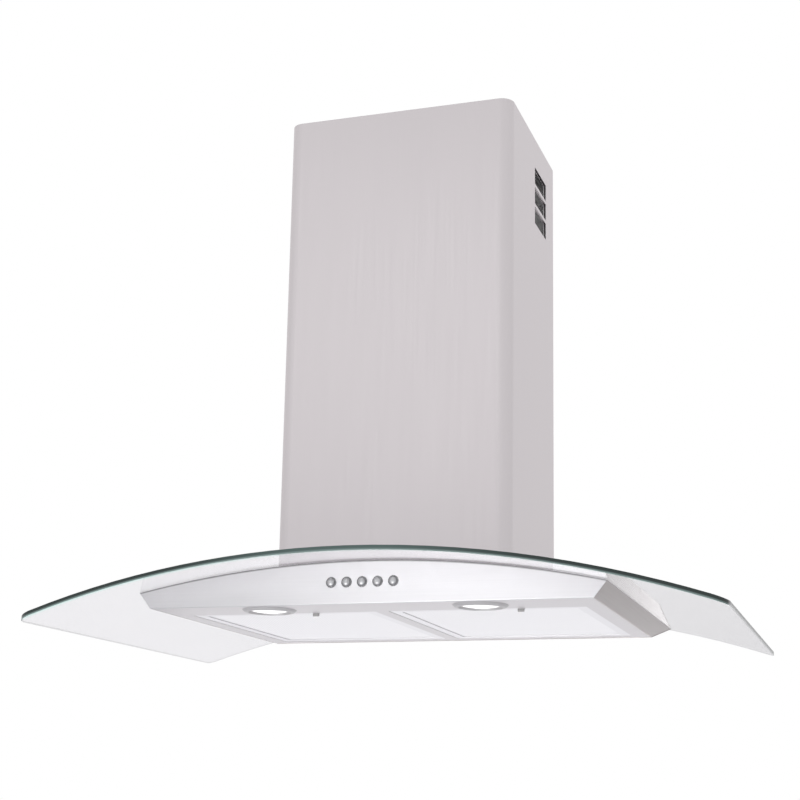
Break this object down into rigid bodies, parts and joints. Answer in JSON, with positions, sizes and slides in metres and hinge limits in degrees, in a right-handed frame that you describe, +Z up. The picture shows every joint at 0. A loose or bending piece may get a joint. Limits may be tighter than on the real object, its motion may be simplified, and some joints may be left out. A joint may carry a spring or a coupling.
{
  "type": "ceiling-hung range hood",
  "caption": "Range hood with an arched glass canopy, shallow steel body, push buttons, lamps, grease filters and a telescopic chimney.",
  "frame": {"origin": "centre of the four ceiling screw holes, on the ceiling face", "axes": "+X to the hood's right seen from the front, +Y to the rear, +Z up"},
  "size_m": [0.9, 0.6, 0.7193],
  "materials": {
    "chimney_steel": "fine satin",
    "fascia_steel": "satin, brushed along the width",
    "body_steel": "satin",
    "pan_steel": "satin",
    "deck_steel": "satin",
    "galvanised_steel": "zinc coated",
    "fastener_zinc": "bright zinc",
    "canopy_glass": "clear, polished edge",
    "gasket_rubber": "matt",
    "housing_plastic": "moulded",
    "impeller_plastic": "moulded",
    "motor_aluminium": "cast",
    "flap_plastic": "moulded",
    "box_plastic": "moulded",
    "gland_plastic": "moulded",
    "capacitor_shell": "smooth",
    "bezel_chrome": "satin",
    "lamp_glass": "frosted",
    "lamp_aluminium": "cast",
    "filter_frame_aluminium": "satin",
    "filter_mesh_aluminium": "fine mesh",
    "latch_plastic": "moulded",
    "button_chrome": "polished",
    "collar_chrome": "polished"
  },
  "bodies": {
    "ceiling_section": {"ceiling_plate": "galvanised_steel", "inner_cover": "chimney_steel", "inner_cover_screws": "fastener_zinc", "upper_post_front_left": "galvanised_steel", "upper_post_front_right": "galvanised_steel", "upper_post_rear_left": "galvanised_steel", "upper_post_rear_right": "galvanised_steel"},
    "hood": {"outer_cover": "chimney_steel", "cover_screws": "fastener_zinc", "frame_bolts": "fastener_zinc", "airway_collar": "galvanised_steel", "glass_canopy": "canopy_glass", "glass_gasket": "gasket_rubber", "glass_screws": "fastener_zinc", "fascia_panel": "fascia_steel", "side_panel_left": "body_steel", "side_panel_right": "body_steel", "rear_panel": "body_steel", "canopy_deck": "deck_steel", "underside_frame": "pan_steel", "blower_box": "galvanised_steel", "blower_brackets": "galvanised_steel", "fan_scroll_left": "housing_plastic", "fan_scroll_right": "housing_plastic", "motor": "motor_aluminium", "motor_bracket": "galvanised_steel", "outlet_transition": "housing_plastic", "duct_collar": "housing_plastic", "flap_pin": "fastener_zinc", "control_box": "box_plastic", "mains_gland": "gland_plastic", "capacitor": "capacitor_shell", "led_driver": "box_plastic", "button_collars": "collar_chrome", "switch_block": "box_plastic", "lower_post_front_left": "galvanised_steel", "lower_post_front_right": "galvanised_steel", "lower_post_rear_left": "galvanised_steel", "lower_post_rear_right": "galvanised_steel", "lamp_bezel_left": "bezel_chrome", "lamp_bezel_right": "bezel_chrome", "lamp_lens_left": "lamp_glass", "lamp_lens_right": "lamp_glass", "lamp_module_left": "lamp_aluminium", "lamp_module_right": "lamp_aluminium"},
    "rotor": {"impeller": "impeller_plastic", "motor_shaft": "fastener_zinc"},
    "flap_front": {"flap_front": "flap_plastic"},
    "flap_rear": {"flap_rear": "flap_plastic"},
    "button_1": {"button_1": "button_chrome"},
    "button_2": {"button_2": "button_chrome"},
    "button_3": {"button_3": "button_chrome"},
    "button_4": {"button_4": "button_chrome"},
    "button_5": {"button_5": "button_chrome"},
    "filter_left": {"filter_frame_left": "filter_frame_aluminium", "filter_mesh_left": "filter_mesh_aluminium"},
    "filter_right": {"filter_frame_right": "filter_frame_aluminium", "filter_mesh_right": "filter_mesh_aluminium"},
    "latch_left": {"filter_latch_left": "latch_plastic"},
    "latch_right": {"filter_latch_right": "latch_plastic"}
  },
  "joints": [
    {"name": "height_adjustment", "type": "slide", "parent": "ceiling_section", "child": "hood", "axis": [0, 0, -1], "range_m": [0, 0.24]},
    {"name": "button_1_press", "type": "slide", "parent": "hood", "child": "button_1", "axis": [0, 1, 0], "range_m": [0, 0.0025], "stiffness_N_per_m": 400, "springref_m": -0.0015},
    {"name": "button_2_press", "type": "slide", "parent": "hood", "child": "button_2", "axis": [0, 1, 0], "range_m": [0, 0.0025], "stiffness_N_per_m": 400, "springref_m": -0.0015},
    {"name": "button_3_press", "type": "slide", "parent": "hood", "child": "button_3", "axis": [0, 1, 0], "range_m": [0, 0.0025], "stiffness_N_per_m": 400, "springref_m": -0.0015},
    {"name": "button_4_press", "type": "slide", "parent": "hood", "child": "button_4", "axis": [0, 1, 0], "range_m": [0, 0.0025], "stiffness_N_per_m": 400, "springref_m": -0.0015},
    {"name": "button_5_press", "type": "slide", "parent": "hood", "child": "button_5", "axis": [0, 1, 0], "range_m": [0, 0.0025], "stiffness_N_per_m": 400, "springref_m": -0.0015},
    {"name": "filter_left_swing", "type": "hinge", "parent": "hood", "child": "filter_left", "pos_m": [-0.1365, 0.1585, -0.6986], "axis": [1, 0, 0], "range_deg": [0, 80]},
    {"name": "latch_left_pull", "type": "slide", "parent": "filter_left", "child": "latch_left", "axis": [0, 1, 0], "range_m": [0, 0.005], "stiffness_N_per_m": 300, "springref_m": -0.002},
    {"name": "filter_right_swing", "type": "hinge", "parent": "hood", "child": "filter_right", "pos_m": [0.1365, 0.1585, -0.6986], "axis": [1, 0, 0], "range_deg": [0, 80]},
    {"name": "latch_right_pull", "type": "slide", "parent": "filter_right", "child": "latch_right", "axis": [0, 1, 0], "range_m": [0, 0.005], "stiffness_N_per_m": 300, "springref_m": -0.002},
    {"name": "impeller_spin", "type": "hinge", "parent": "hood", "child": "rotor", "pos_m": [0, -0.009, -0.5], "axis": [1, 0, 0], "continuous": true},
    {"name": "flap_front_swing", "type": "hinge", "parent": "hood", "child": "flap_front", "pos_m": [0, 0, -0.338], "axis": [-1, 0, 0], "range_deg": [0, 78]},
    {"name": "flap_rear_swing", "type": "hinge", "parent": "hood", "child": "flap_rear", "pos_m": [0, 0, -0.338], "axis": [1, 0, 0], "range_deg": [0, 78]}
  ]
}
